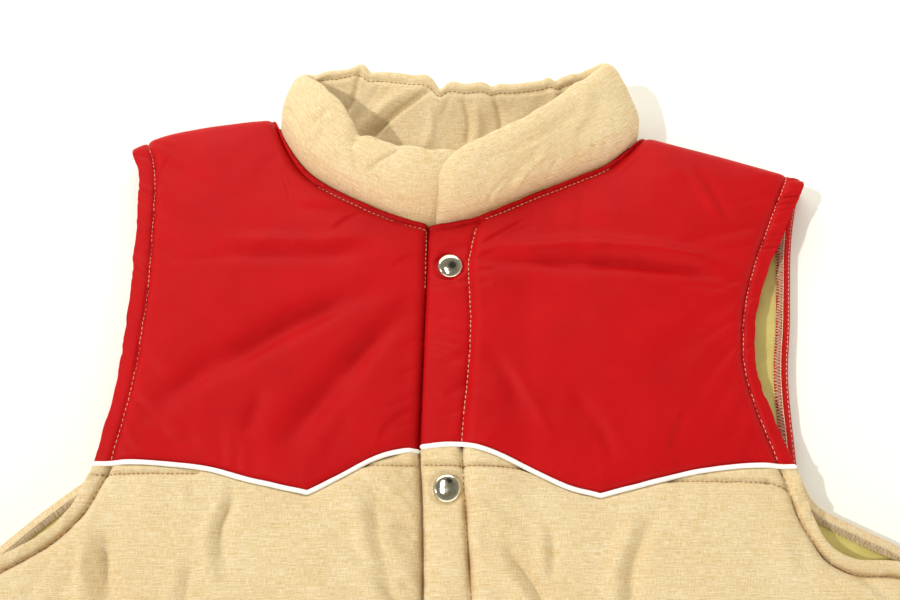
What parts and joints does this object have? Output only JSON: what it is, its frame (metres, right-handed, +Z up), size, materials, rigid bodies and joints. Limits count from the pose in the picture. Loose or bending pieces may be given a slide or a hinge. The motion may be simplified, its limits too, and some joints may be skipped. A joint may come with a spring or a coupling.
{
  "type": "padded racing vest",
  "caption": "Sleeveless padded racing vest laid flat: red western yokes over a beige body, white piping, stand collar and a snap front.",
  "frame": {"origin": "centre of the bounding box, on the surface that the vest lies on", "axes": "+X to the wearer's left, +Y from the hem to the collar, +Z up from the surface to the fronts"},
  "size_m": [0.5352, 0.6592, 0.0514],
  "materials": {
    "red_nylon": "smooth nylon taffeta with a slight sheen",
    "beige_slub": "matt slubby linen-look plain weave",
    "olive_lining": "smooth plain lining",
    "white_piping": "smooth white bias piping",
    "snap_steel": "polished"
  },
  "bodies": {
    "root": {"front_right_yoke": "red_nylon", "front_left_yoke": "red_nylon", "back_yoke": "red_nylon", "facing_right_yoke": "red_nylon", "facing_left_yoke": "red_nylon", "front_right_body": "beige_slub", "front_left_body": "beige_slub", "back_body": "beige_slub", "facing_right_body": "beige_slub", "facing_left_body": "beige_slub", "collar": "beige_slub", "lining_back": "olive_lining", "piping_right": "white_piping", "piping_left": "white_piping", "snap_1": "snap_steel", "snap_2": "snap_steel", "snap_3": "snap_steel", "snap_4": "snap_steel"}
  },
  "joints": []
}
